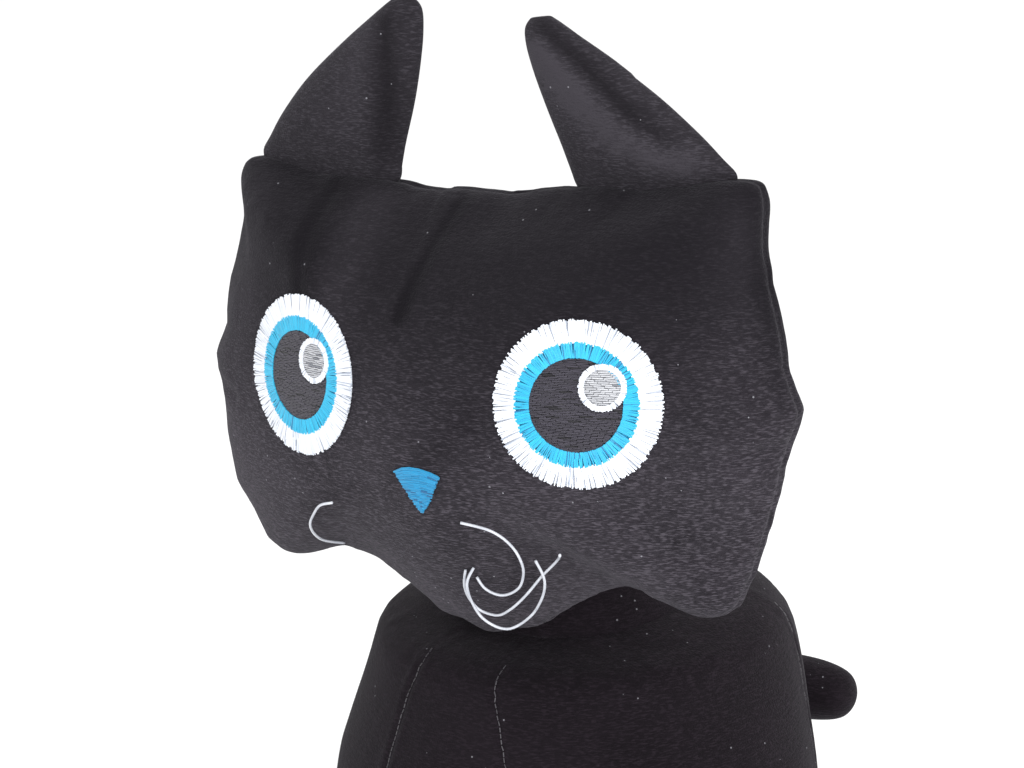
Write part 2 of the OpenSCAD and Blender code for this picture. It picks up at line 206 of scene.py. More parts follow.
@dataclass(frozen=True)
class NylonFinish:
    """Cloudy clear nylon strand."""

    name: str = "nylon_strand"
    slot: str = "nylon"

    def material(self) -> bpy.types.Material:
        """Build the nylon's material once.

        Returns:
            The nylon's material.
        """
        found = bpy.data.materials.get(self.name)
        if found:
            return found
        material, shader = new_material(self.name, 0.22)
        nodes, links = material.node_tree.nodes, material.node_tree.links
        shader.inputs["Coat Weight"].default_value = 0.6
        ramp = nodes.new("ShaderNodeValToRGB")
        ramp.color_ramp.elements[0].color = (0.36, 0.38, 0.44, 1)
        ramp.color_ramp.elements[1].color = (0.78, 0.80, 0.86, 1)
        cloud = nodes.new("ShaderNodeTexNoise")
        cloud.inputs["Scale"].default_value = 220
        place = nodes.new("ShaderNodeTexCoord")
        links.new(place.outputs["Object"], cloud.inputs["Vector"])
        links.new(cloud.outputs["Fac"], ramp.inputs["Fac"])
        links.new(ramp.outputs["Color"], shader.inputs["Base Color"])
        return material


def pile_group() -> bpy.types.NodeTree:
    """Shared pile effect: nap patches, fine streaks, lint specks, painted shade on top, painted light bands
    and the pile's height.

    Returns:
        A shader group with the colours Ground and Nap, the heights Top Shade Start and Top Shade Full
        between which the top is painted darker as painted shade, the nap left above them in Nap Left In Top
        Shade and the bands of painted highlight and painted shade in Painted Light. It puts out Color and
        Height.
    """
    found = bpy.data.node_groups.get("short_pile")
    if found:
        return found
    tree = bpy.data.node_groups.new("short_pile", "ShaderNodeTree")
    for name in ("Ground", "Nap"):
        tree.interface.new_socket(name, in_out="INPUT", socket_type="NodeSocketColor")
    for name in ("Brush Low", "Brush High", "Brushed", "Lay"):
        tree.interface.new_socket(name, in_out="INPUT", socket_type="NodeSocketFloat")
    tree.interface.new_socket("Color", in_out="OUTPUT", socket_type="NodeSocketColor")
    tree.interface.new_socket("Height", in_out="OUTPUT", socket_type="NodeSocketFloat")
    nodes, links = tree.nodes, tree.links
    given = nodes.new("NodeGroupInput")
    result = nodes.new("NodeGroupOutput")
    place = nodes.new("ShaderNodeTexCoord")

    def noise(scale: float, detail: float, stretch: tuple[float, float, float]) -> Socket:
        """A noise texture on stretched object coordinates.

        Args:
            scale: How fine the noise is.
            detail: How many finer layers it has.
            stretch: How much finer it is along each axis.

        Returns:
            The texture's socket.
        """
        mapping = nodes.new("ShaderNodeMapping")
        mapping.inputs["Scale"].default_value = stretch
        texture = nodes.new("ShaderNodeTexNoise")
        texture.inputs["Scale"].default_value = scale
        texture.inputs["Detail"].default_value = detail
        links.new(place.outputs["Object"], mapping.inputs["Vector"])
        links.new(mapping.outputs["Vector"], texture.inputs["Vector"])
        return texture.outputs["Fac"]

    def math_node(kind: str, a: Socket, b: float | Socket) -> Socket:
        """A math node on a socket and a number or second socket.

        Args:
            kind: The operation.
            a: The first value.
            b: The second value.

        Returns:
            The result's socket.
        """
        node = nodes.new("ShaderNodeMath")
        node.operation = kind
        links.new(a, node.inputs[0])
        if isinstance(b, (int, float)):
            node.inputs[1].default_value = b
        else:
            links.new(b, node.inputs[1])
        return node.outputs[0]

    def spread(value: Socket, low: float, high: float) -> Socket:
        """Spread a value's range over 0 to 1.

        Args:
            value: The value.
            low: What becomes 0.
            high: What becomes 1.

        Returns:
            The result's socket.
        """
        node = nodes.new("ShaderNodeMapRange")
        node.inputs["From Min"].default_value = low
        node.inputs["From Max"].default_value = high
        links.new(value, node.inputs["Value"])
        return node.outputs["Result"]

    even = (1, 1, 1)
    patch_share, fine_share, fleck_share, lay_share = 0.3, 0.9, 0.9, 0.12
    speck_radius, speck_rarity, speck_strength = 0.075, 0.6, 0.35
    patches = spread(noise(22, 3, even), 0.35, 0.68)
    streaks = noise(260, 2, (1, 1, 5))
    fibres = noise(1900, 2, (1, 1, 1.6))
    flecks = spread(noise(1500, 1, (0.4, 0.4, 2.2)), 0.50, 0.72)
    fine = math_node("MULTIPLY", streaks, fibres)
    amount = math_node("ADD", math_node("MULTIPLY", patches, patch_share),
                       math_node("MULTIPLY", fine, fine_share))
    amount = math_node("ADD", amount, math_node("MULTIPLY", flecks, fleck_share))
    # Painted shade: the nap is painted darker towards the top, fading in between the two given heights.
    split = nodes.new("ShaderNodeSeparateXYZ")
    links.new(place.outputs["Object"], split.inputs[0])
    brush = nodes.new("ShaderNodeMapRange")
    brush.interpolation_type = "SMOOTHSTEP"
    brush.inputs["To Min"].default_value = 1
    links.new(split.outputs["Z"], brush.inputs["Value"])
    links.new(given.outputs["Brush Low"], brush.inputs["From Min"])
    links.new(given.outputs["Brush High"], brush.inputs["From Max"])
    links.new(given.outputs["Brushed"], brush.inputs["To Max"])
    amount = math_node("MULTIPLY", amount, brush.outputs["Result"])
    # Painted highlight and painted shade: the stored bands make the pile paler or darker.
    amount = math_node("MULTIPLY", amount, math_node("ADD", given.outputs["Lay"], 1.0))
    amount = math_node("ADD", amount, math_node("MULTIPLY", given.outputs["Lay"], lay_share))
    factor, ground, nap, cloth = colour_mix(tree)
    links.new(amount, factor)
    links.new(given.outputs["Ground"], ground)
    links.new(given.outputs["Nap"], nap)
    cells = nodes.new("ShaderNodeTexVoronoi")
    cells.inputs["Scale"].default_value = 300
    links.new(place.outputs["Object"], cells.inputs["Vector"])
    speck = math_node("LESS_THAN", cells.outputs["Distance"], speck_radius)
    rare = math_node("GREATER_THAN", noise(90, 0, even), speck_rarity)
    factor, clean, lint, dusty = colour_mix(tree)
    links.new(math_node("MULTIPLY", math_node("MULTIPLY", speck, rare), speck_strength), factor)
    links.new(cloth, clean)
    lint.default_value = (0.5, 0.5, 0.55, 1)
    links.new(dusty, result.inputs["Color"])
    links.new(math_node("ADD", fibres, streaks), result.inputs["Height"])
    return tree


# The nap is painted darker towards the top as painted shade; the ears keep 0.8 of it there and the body all
# of it.
HEAD_PILE = PileFinish("head_pile", "head_plush", (0.0055, 0.0045, 0.0065), (0.064, 0.057, 0.069))
EAR_PILE = PileFinish("ear_pile", "ear_plush", (0.010, 0.0085, 0.011), (0.042, 0.038, 0.046),
                     brushed=0.8)
BODY_PILE = PileFinish("body_pile", "body_plush", (0.003, 0.0018, 0.003), (0.014, 0.010, 0.014), 0.05,
                       brushed=1)
WHITE_THREAD = ThreadFinish("white_satin", "white_thread", (0.40, 0.44, 0.52), (0.88, 0.91, 0.97))
BLUE_THREAD = ThreadFinish("blue_satin", "blue_thread", (0.008, 0.16, 0.34), (0.022, 0.50, 0.76))
NOSE_THREAD = ThreadFinish("nose_fill", "blue_thread", (0.004, 0.11, 0.26), (0.006, 0.29, 0.56))
DARK_THREAD = ThreadFinish("dark_fill", "dark_thread", (0.006, 0.005, 0.009), (0.045, 0.040, 0.058))
SEAM_THREAD = ThreadFinish("seam_stitch", "dark_thread", (0.015, 0.013, 0.016), (0.06, 0.055, 0.065))
GREY_THREAD = ThreadFinish("grey_fill", "grey_thread", (0.22, 0.23, 0.26), (0.60, 0.61, 0.64))
NYLON = NylonFinish()
Finish = PileFinish | ThreadFinish | NylonFinish


# ---- Shared shape tools ----


def smooth_line(points: Sequence[Sequence[float]], steps: int) -> np.ndarray:
    """A smooth line through points of any dimension.

    Args:
        points: The points to pass through.
        steps: Pieces between two neighbouring points.

    Returns:
        The line's points, one row each.
    """
    given = np.array(points, float)
    padded = np.vstack([given[:1], given, given[-1:]])
    rows = []
    for i in range(len(given) - 1):
        a, b, c, d = padded[i:i + 4]
        for t in np.arange(steps) / steps:
            rows.append(0.5 * (2 * b + (c - a) * t + (2 * a - 5 * b + 4 * c - d) * t ** 2
                               + (3 * b - a - 3 * c + d) * t ** 3))
    return np.array(rows + [given[-1]])


def closed_loft(rings: Sequence[np.ndarray], name: str) -> bpy.types.Object:
    """A closed mesh through rings of millimetre points, with a middle point at each end.

    Args:
        rings: Rings with the same number of points.
        name: Name of the new object.

    Returns:
        The new object, with faces that point outwards.
    """
    count = len(rings[0])
    points = [tuple(p) for ring in rings for p in np.asarray(ring) * MM]
    points += [tuple(np.mean(rings[0], 0) * MM), tuple(np.mean(rings[-1], 0) * MM)]
    faces = []
    for k in range(len(rings) - 1):
        for i in range(count):
            j = (i + 1) % count
            faces.append((k * count + i, k * count + j, (k + 1) * count + j, (k + 1) * count + i))
    first, last, top = len(points) - 2, len(points) - 1, (len(rings) - 1) * count
    for i in range(count):
        j = (i + 1) % count
        faces.append((first, j, i))
        faces.append((last, top + i, top + j))
    return mesh_object(name, points, faces)


def mesh_object(name: str, points: Points, faces: Sequence[Sequence[int]]) -> bpy.types.Object:
    """A smooth-shaded mesh object with its normals made to point outwards.

    Args:
        name: Name of the new object.
        points: Its points in metres.
        faces: Its faces, as numbers of points.

    Returns:
        The new object.
    """
    mesh = bpy.data.meshes.new(name)
    mesh.from_pydata(points, [], faces)
    piece = bpy.data.objects.new(name, mesh)
    bpy.context.scene.collection.objects.link(piece)
    if faces:
        orient(piece)
    return piece


def orient(piece: bpy.types.Object) -> None:
    """Merge doubles, turn the faces outwards and shade them smooth.

    Args:
        piece: The piece to set right.
    """
    work = bmesh.new()
    work.from_mesh(piece.data)
    bmesh.ops.remove_doubles(work, verts=work.verts, dist=0.01 * MM)
    bmesh.ops.recalc_face_normals(work, faces=work.faces)
    for face in work.faces:
        face.smooth = True
    work.to_mesh(piece.data)
    work.free()


def coordinates(mesh: bpy.types.Mesh) -> np.ndarray:
    """The mesh's points as rows.

    Args:
        mesh: The mesh to read.

    Returns:
        One row of x, y and z in metres for each point.
    """
    values = np.empty(len(mesh.vertices) * 3)
    mesh.vertices.foreach_get("co", values)
    return values.reshape(-1, 3)


def set_coordinates(mesh: bpy.types.Mesh, values: np.ndarray) -> None:
    """Write rows of points back to the mesh."""
    mesh.vertices.foreach_set("co", values.ravel())
    mesh.update()


def apply_modifiers(piece: bpy.types.Object) -> None:
    """Make the evaluated result the piece's own plain mesh.

    Args:
        piece: The piece whose modifiers are applied.
    """
    graph = bpy.context.evaluated_depsgraph_get()
    result = bpy.data.meshes.new_from_object(piece.evaluated_get(graph))
    piece.modifiers.clear()
    piece.data = result
    for polygon in piece.data.polygons:
        polygon.use_smooth = True


def subdivide(piece: bpy.types.Object, levels: int) -> None:
    """Split each face of a piece and round the result.

    Args:
        piece: The piece.
        levels: How many times its faces are split.
    """
    finer = piece.modifiers.new("Finer", "SUBSURF")
    finer.levels = levels
    finer.render_levels = levels
    apply_modifiers(piece)


def stuff(piece: bpy.types.Object, cap: float, voxel: float = 0.0, levels: int = 1) -> None:
    """Swell a closed fabric shell with pressure, as filling does.

    Args:
        piece: The shell, which starts slightly smaller than the filled piece.
        cap: Farthest that a point may move, in metres.
        voxel: Size of the even remesh before the pressure, or 0 to keep the mesh.
        levels: Subdivision levels after it.
    """
    if voxel:
        remesh = piece.modifiers.new("Even", "REMESH")
        remesh.mode = "VOXEL"
        remesh.voxel_size = voxel
        apply_modifiers(piece)
    start = coordinates(piece.data)
    cloth = piece.modifiers.new("Filling", "CLOTH")
    cloth.settings.quality = CLOTH_QUALITY
    cloth.settings.use_pressure = True
    cloth.settings.uniform_pressure_force = FILL_PRESSURE
    cloth.settings.effector_weights.gravity = 0
    cloth.point_cache.frame_start = 1
    cloth.point_cache.frame_end = FILL_FRAMES
    for number in range(1, FILL_FRAMES + 1):
        bpy.context.scene.frame_set(number)
    graph = bpy.context.evaluated_depsgraph_get()
    moved = coordinates(piece.evaluated_get(graph).data) - start
    piece.modifiers.clear()
    bpy.context.scene.frame_set(1)
    moved -= moved.mean(0)
    length = np.linalg.norm(moved, axis=1, keepdims=True)
    set_coordinates(piece.data, start + moved * np.minimum(1, cap / np.maximum(length, 1e-9)))
    if levels:
        subdivide(piece, levels)


def rest_flat(piece: bpy.types.Object) -> None:
    """Flatten what lies below the surface that the cat rests on.

    Args:
        piece: The piece that stands on it.
    """
    values = coordinates(piece.data)
    values[:, 2] = np.maximum(values[:, 2], 0)
    set_coordinates(piece.data, values)


def push(piece: bpy.types.Object, depth: Callable[[np.ndarray], np.ndarray]) -> None:
    """Move each point along its normal.

    Args:
        piece: The piece to shape.
        depth: Gives each place's move outwards, from places in millimetres.
    """
    values = coordinates(piece.data)
    normals = np.array([v.normal for v in piece.data.vertices])
    set_coordinates(piece.data, values + normals * (depth(values / MM) * MM)[:, None])


def brush_pile(piece: bpy.types.Object, bands: Sequence[Band], back: float) -> None:
    """Store bands of painted highlight and painted shade, which make the pile look paler or darker.

    Args:
        piece: The finished piece.
        bands: Lines of x and z in millimetres, each with a width and a strength.
        back: Only points in front of this y, in millimetres, get the painted bands.
    """
    fade, darkest, palest = 4, -0.9, 2.5
    values = coordinates(piece.data) / MM
    lay = np.zeros(len(values))
    for line, width, strength in bands:
        lay += strength * np.exp(-(line_distance(values[:, 0], values[:, 2], line) / width) ** 2)
    lay *= np.clip((back - values[:, 1]) / fade, 0, 1)
    # The attribute holds the bands of painted highlight and painted shade.
    stored = piece.data.attributes.new("lay", "FLOAT", "POINT")
    stored.data.foreach_set("value", np.clip(lay, darkest, palest))


def line_distance(x: np.ndarray, y: np.ndarray, line: Line) -> np.ndarray:
    """Distance of flat points from a line of straight pieces.

    Args:
        x: The points' first coordinates.
        y: Their second coordinates.
        line: The line's corners.

    Returns:
        Each point's distance from the nearest piece.
    """
    best = np.full(len(x), 1e9)
    for (ax, ay), (bx, by) in zip(line, line[1:]):
        dx, dy = bx - ax, by - ay
        along = np.clip(((x - ax) * dx + (y - ay) * dy) / (dx * dx + dy * dy), 0, 1)
        best = np.minimum(best, np.hypot(x - ax - along * dx, y - ay - along * dy))
    return best


def fold(distance: np.ndarray, depth: float, width: float) -> np.ndarray:
    """Profile of a crease: a valley with a soft raised shoulder each side.

    Args:
        distance: Distance of each place from the crease.
        depth: Depth of the valley.
        width: Half of its width.

    Returns:
        How far each place moves outwards.
    """
    shoulder_share, shoulder_place, shoulder_width = 0.45, 2.2, 1.2
    valley = -depth * np.exp(-(distance / width) ** 2)
    beside = (distance - shoulder_place * width) / (shoulder_width * width)
    return valley + shoulder_share * depth * np.exp(-beside ** 2)


def tube_rings(line: np.ndarray, radii: Sequence[float], sides: int) -> list[np.ndarray]:
    """Round rings across a line, turned as little as possible along it.

    Args:
        line: The line's points.
        radii: A radius for each of them.
        sides: Number of points in a ring.

    Returns:
        The rings' points, in the line's own unit.
    """
    along = np.gradient(line, axis=0)
    along /= np.linalg.norm(along, axis=1)[:, None]
    across = np.cross(along[0], (0.3, 0.1, 1.0))
    rings = []
    for point, way, radius in zip(line, along, radii):
        across = across - way * np.dot(across, way)
        across /= np.linalg.norm(across)
        other = np.cross(way, across)
        turn = 2 * np.pi * np.arange(sides) / sides
        rings.append(point + radius * (np.cos(turn)[:, None] * across + np.sin(turn)[:, None] * other))
    return rings


def dress(piece: bpy.types.Object, finish: Finish) -> None:
    """Give the piece its material.

    Args:
        piece: The piece to dress.
        finish: The finish that it gets.
    """
    piece.data.materials.clear()
    piece.data.materials.append(finish.material())


# ---- Stitches ----


def stitch_tree() -> bpy.types.NodeTree:
    """A tree that lays one round thread on each point.

    Returns:
        A geometry tree that reads the points' attributes run and reach.
    """
    found = bpy.data.node_groups.get("laid_stitches")
    if found:
        return found
    tree = bpy.data.node_groups.new("laid_stitches", "GeometryNodeTree")
    face = tree.interface
    face.new_socket("Geometry", in_out="INPUT", socket_type="NodeSocketGeometry")
    face.new_socket("Thread Width", in_out="INPUT", socket_type="NodeSocketFloat")
    face.new_socket("Seed", in_out="INPUT", socket_type="NodeSocketInt")
    face.new_socket("Finish", in_out="INPUT", socket_type="NodeSocketMaterial")
    face.new_socket("Geometry", in_out="OUTPUT", socket_type="NodeSocketGeometry")
    nodes, links = tree.nodes, tree.links
    given, result = nodes.new("NodeGroupInput"), nodes.new("NodeGroupOutput")
    line = nodes.new("GeometryNodeCurvePrimitiveLine")
    line.inputs["Start"].default_value = (-0.5, 0, 0)
    line.inputs["End"].default_value = (0.5, 0, 0)
    even = nodes.new("GeometryNodeResampleCurve")
    even.inputs["Count"].default_value = 4
    ring = nodes.new("GeometryNodeCurvePrimitiveCircle")
    ring.inputs["Resolution"].default_value = 5
    ring.inputs["Radius"].default_value = 0.5
    body = nodes.new("GeometryNodeCurveToMesh")
    body.inputs["Fill Caps"].default_value = True
    run, reach = (nodes.new("GeometryNodeInputNamedAttribute") for _ in range(2))
    run.data_type = "FLOAT_VECTOR"
    run.inputs["Name"].default_value = "run"
    reach.data_type = "FLOAT"
    reach.inputs["Name"].default_value = "reach"
    turn = nodes.new("FunctionNodeAlignRotationToVector")
    turn.axis = "X"
    vary = nodes.new("FunctionNodeRandomValue")
    vary.data_type = "FLOAT"
    floats = {socket.name: socket for socket in vary.inputs if socket.type == "VALUE"}
    floats["Min"].default_value = 0.85
    floats["Max"].default_value = 1.15
    width = nodes.new("ShaderNodeMath")
    width.operation = "MULTIPLY"
    scale = nodes.new("ShaderNodeCombineXYZ")
    lay = nodes.new("GeometryNodeInstanceOnPoints")
    real = nodes.new("GeometryNodeRealizeInstances")
    paint = nodes.new("GeometryNodeSetMaterial")
    links.new(line.outputs["Curve"], even.inputs["Curve"])
    links.new(even.outputs["Curve"], body.inputs["Curve"])
    links.new(ring.outputs["Curve"], body.inputs["Profile Curve"])
    links.new(given.outputs["Geometry"], lay.inputs["Points"])
    links.new(body.outputs["Mesh"], lay.inputs["Instance"])
    links.new(run.outputs["Attribute"], turn.inputs["Vector"])
    links.new(turn.outputs["Rotation"], lay.inputs["Rotation"])
    links.new(given.outputs["Seed"], vary.inputs["Seed"])
    links.new(next(socket for socket in vary.outputs if socket.type == "VALUE"), width.inputs[0])
    links.new(given.outputs["Thread Width"], width.inputs[1])
    links.new(reach.outputs["Attribute"], scale.inputs["X"])
    links.new(width.outputs[0], scale.inputs["Y"])
    links.new(width.outputs[0], scale.inputs["Z"])
    links.new(scale.outputs["Vector"], lay.inputs["Scale"])
    links.new(lay.outputs["Instances"], real.inputs["Geometry"])
    links.new(real.outputs["Geometry"], paint.inputs["Geometry"])
    links.new(given.outputs["Finish"], paint.inputs["Material"])
    links.new(paint.outputs["Geometry"], result.inputs["Geometry"])
    return tree


def sew(name: str, ends: Sequence[tuple[np.ndarray, np.ndarray]], width: float,
        finish: ThreadFinish, seed: int) -> bpy.types.Object:
    """Lay one thread between each pair of ends, in metres.

    Args:
        name: Name of the new piece.
        ends: The two ends of each stitch.
        width: Thread width in metres.
        finish: The thread's finish.
        seed: Seed of the small differences between stitches.

    Returns:
        The stitches as one plain mesh.
    """
    draw = np.random.default_rng(seed)
    first, second = (np.array([pair[k] for pair in ends]) for k in (0, 1))
    piece = mesh_object(name, [tuple(p) for p in (first + second) / 2], [])
    mesh = piece.data
    span = second - first
    dark_share, dullest, palest = 0.06, 0.6, 1
    is_dark = draw.random(len(span)) < dark_share
    shade = np.where(is_dark, 0.0, draw.uniform(dullest, palest, len(span)))
    values = {"run": span, "reach": np.linalg.norm(span, axis=1), "shade": shade}
    for key, value in values.items():
        kind, field = ("FLOAT_VECTOR", "vector") if value.ndim == 2 else ("FLOAT", "value")
        mesh.attributes.new(key, kind, "POINT").data.foreach_set(field, value.ravel())
    tree = stitch_tree()
    modifier = piece.modifiers.new("Stitches", "NODES")
    modifier.node_group = tree
    given = {"Thread Width": width, "Seed": seed, "Finish": finish.material()}
    for item in tree.interface.items_tree:
        if item.in_out == "INPUT" and item.name in given:
            modifier[item.identifier] = given[item.name]
    apply_modifiers(piece)
    return piece


def merge(name: str, pieces: Sequence[bpy.types.Object]) -> bpy.types.Object:
    """Join pieces into the first one.

    Args:
        name: Name of the joined piece.
        pieces: The pieces to join.

    Returns:
        The first piece, which now holds them all.
    """
    if len(pieces) == 1:
        pieces[0].name = name
        return pieces[0]
    with bpy.context.temp_override(active_object=pieces[0], selected_editable_objects=list(pieces)):
        bpy.ops.object.join()
    pieces[0].name = name
    return pieces[0]


# ---- Head ----


@dataclass
class Head:
    """The pillow head, its folds and the surface that the embroidery follows."""

    chin: float = CHIN
    seam: float = SEAM
    mid: float = 64
    face_bulge: float = 31
    back_bulge: float = 35
    muzzle: float = 4
    muzzle_height: float = 44
    muzzle_spread: float = 17
    power: float = 0.8
    seam_depth: float = 0.9
    seam_width: float = 1.1
    # How much further the cat's right side reaches or falls short, at what height, over what spread.
    full_cheek: tuple[float, float, float] = (4.6, 37, 17)
    flat_corner: tuple[float, float, float] = (1.6, 110, 14)
    outline: tuple = (
        (0, 0), (13, 3), (23, 9.5), (31, 14.5), (37, 16.5), (43, 16.5), (51, 14), (61, 12), (68, 15.5),
        (72, 23), (75.5, 33), (79, 46), (82, 58), (84.5, 65.5), (81.5, 74), (79, 88), (76, 101),
        (76, 110), (75.5, 116.5), (71, 121), (60, 120.3), (45, 118), (25, 116), (10, 114.5), (0, 114))
    # Each crease is a line of x and height above the chin, its depth and its width.
    creases: tuple = (
        (((-3, 115), (-5.5, 99), (-7.5, 86)), 0.32, 1.5),
        (((-40, 116), (-40, 100), (-39, 88)), 0.3, 1.8),
        (((82, 58), (66, 55), (52, 53)), 0.9, 1.7),
        (((80, 55), (66, 51.5), (54, 50)), 0.5, 1.4),
        (((49, 27), (46, 20)), 0.4, 1.8),
        (((-80, 60), (-70, 58)), 0.6, 1.6))
    # Each band is a line of x and height above the chin, its width and its strength. Pale bands are painted
    # highlight and dark bands painted shade, two of them along the forehead creases.
    bands: tuple = (
        (((-27, 114), (-27, 98), (-29, 84)), 7, 0.9),
        (((-2, 116), (-5, 99), (-8, 86)), 2.0, -0.8),
        (((-41, 116), (-40, 100), (-39, 86)), 3.5, -0.8),
        (((-60, 112), (-62, 84)), 6, 0.3),
        (((74, 108), (72, 82)), 8, 0.6),
        (((4, 54), (14, 62)), 7, -0.35))
    surface: BVHTree | None = None

    def reach(self, angle: np.ndarray) -> np.ndarray:
        """Distance of the outline from the head's middle.

        Args:
            angle: Angles from the cat's left side, in radians.

        Returns:
            The distances in millimetres.
        """
        line = smooth_line(self.outline, 4)
        key = np.arctan2(line[:, 1] - self.mid, line[:, 0])
        value = np.hypot(line[:, 0], line[:, 1] - self.mid)
        order = np.argsort(key)
        radius = np.interp(np.arcsin(np.sin(angle)), key[order], value[order])
        # The cat's right side is fuller at the cheek and a little flatter at the top corner.
        height = self.mid + radius * np.sin(angle)
        extra, level, spread = self.full_cheek
        short, short_level, short_spread = self.flat_corner
        fuller = (extra * np.exp(-((height - level) / spread) ** 2)
                  - short * np.exp(-((height - short_level) / short_spread) ** 2))
        right_side = np.cos(angle) < -0.2
        return radius + np.where(right_side, fuller, 0)

    def build(self) -> bpy.types.Object:
        """Make the stuffed pillow with its seam and folds.

        Returns:
            The pillow.
        """
        angles = np.linspace(0, 2 * np.pi, 144, endpoint=False)
        reach = self.reach(angles)
        shares = np.sin(np.linspace(0.06, 1, 22) * np.pi / 2)

        def ring(share: float, bulge: float, front: bool) -> np.ndarray:
            """One ring of the front or the back at a share of the outline.

            Args:
                share: Size of the ring, as a share of the outline.
                bulge: Bulge at the middle, in millimetres.
                front: Whether the ring is on the face.

            Returns:
                The ring's points in millimetres.
            """
            x = share * reach * np.cos(angles)
            h = self.mid + share * reach * np.sin(angles)
            lift = (1 - share ** 2) ** self.power
            depth = np.full_like(x, bulge * lift)
            if front:
                away = x ** 2 + (h - self.muzzle_height) ** 2
                depth = depth + self.muzzle * np.exp(-away / (2 * self.muzzle_spread ** 2)) * lift
            return np.stack([x, self.seam + (-depth if front else depth), self.chin + h], 1)

        rings = [ring(s, self.face_bulge, True) for s in shares]
        rings += [ring(s, self.back_bulge, False) for s in shares[-2::-1]]
        piece = closed_loft(rings, "head_pillow")
        stuff(piece, cap=0.0016, voxel=0.004, levels=1)
        subdivide(piece, 1)
        self.meet_outline(piece)
        push(piece, self.folds)
        brush_pile(piece, [(tuple((x, self.chin + h) for x, h in line), width, strength)
                           for line, width, strength in self.bands], self.seam - 3)
        dress(piece, HEAD_PILE)
        self.surface = BVHTree.FromObject(piece, bpy.context.evaluated_depsgraph_get())
        return piece

    def meet_outline(self, piece: bpy.types.Object) -> None:
        """Stretch the filled pillow's rim until it meets the cut outline again.

        Args:
            piece: The filled pillow.
        """
        values = coordinates(piece.data) / MM
        x, h = values[:, 0], values[:, 2] - self.chin - self.mid
        angle, radius = np.arctan2(h, x), np.hypot(x, h)
        slices, least, most = 120, 0.97, 1.06
        edge_start, edge_span = 0.6, 0.36
        place = ((angle + np.pi) / (2 * np.pi) * slices).astype(int) % slices
        widest = np.zeros(slices)
        np.maximum.at(widest, place, radius)
        middle = (np.arange(slices) + 0.5) / slices * 2 * np.pi - np.pi
        ratio = self.reach(middle) / np.maximum(widest, 1)
        stretch = np.interp(angle, np.append(middle, middle[0] + 2 * np.pi), np.append(ratio, ratio[0]))
        edge = np.clip((radius / self.reach(angle) - edge_start) / edge_span, 0, 1)
        factor = 1 + (np.clip(stretch, least, most) - 1) * edge * edge * (3 - 2 * edge)
        values[:, 0] = x * factor
        values[:, 2] = self.chin + self.mid + h * factor
        set_coordinates(piece.data, values * MM)

    def folds(self, place: np.ndarray) -> np.ndarray:
        """Depth of the seam, the creases and the soft unevenness at each place.

        Args:
            place: Places in millimetres.

        Returns:
            How far each place moves outwards.
        """
        x, y, h = place[:, 0], place[:, 1], place[:, 2] - self.chin
        share = np.hypot(x, h - self.mid) / self.reach(np.arctan2(h - self.mid, x))
        edge_start, edge_span, front_fade = 0.8, 0.2, 8
        ripple, ripple_start, ripple_fade = 0.35, 70, 30
        edge = np.clip((share - edge_start) / edge_span, 0, 1)
        front = np.clip((self.seam - y) / front_fade, 0, 1)
        depth = -self.seam_depth * edge * np.exp(-((y - self.seam) / self.seam_width) ** 2)
        for line, deep, wide in self.creases:
            depth += front * fold(line_distance(x, h, line), deep, wide)
        upper = np.clip((h - ripple_start) / ripple_fade, 0, 1)
        depth += ripple * np.sin(x / 9 + 1.3) * np.sin(h / 11 + 0.4) * upper
        return depth

    def on_face(self, x: float, h: float, lift: float) -> np.ndarray:
        """A point in front of the face, in metres.

        Args:
            x: Millimetres towards the cat's left.
            h: Millimetres above the chin.
            lift: Millimetres in front of the surface.

        Returns:
            The point's x, y and z.
        """
        start = Vector((x * MM, -0.3, (self.chin + h) * MM))
        place, normal, _, _ = self.surface.ray_cast(start, Vector((0, 1, 0)))
        if place is None:
            beside = Vector((x * MM, (self.seam - 3) * MM, (self.chin + h) * MM))
            place, normal, _, _ = self.surface.find_nearest(beside)
        return np.array(place + normal * lift * MM)


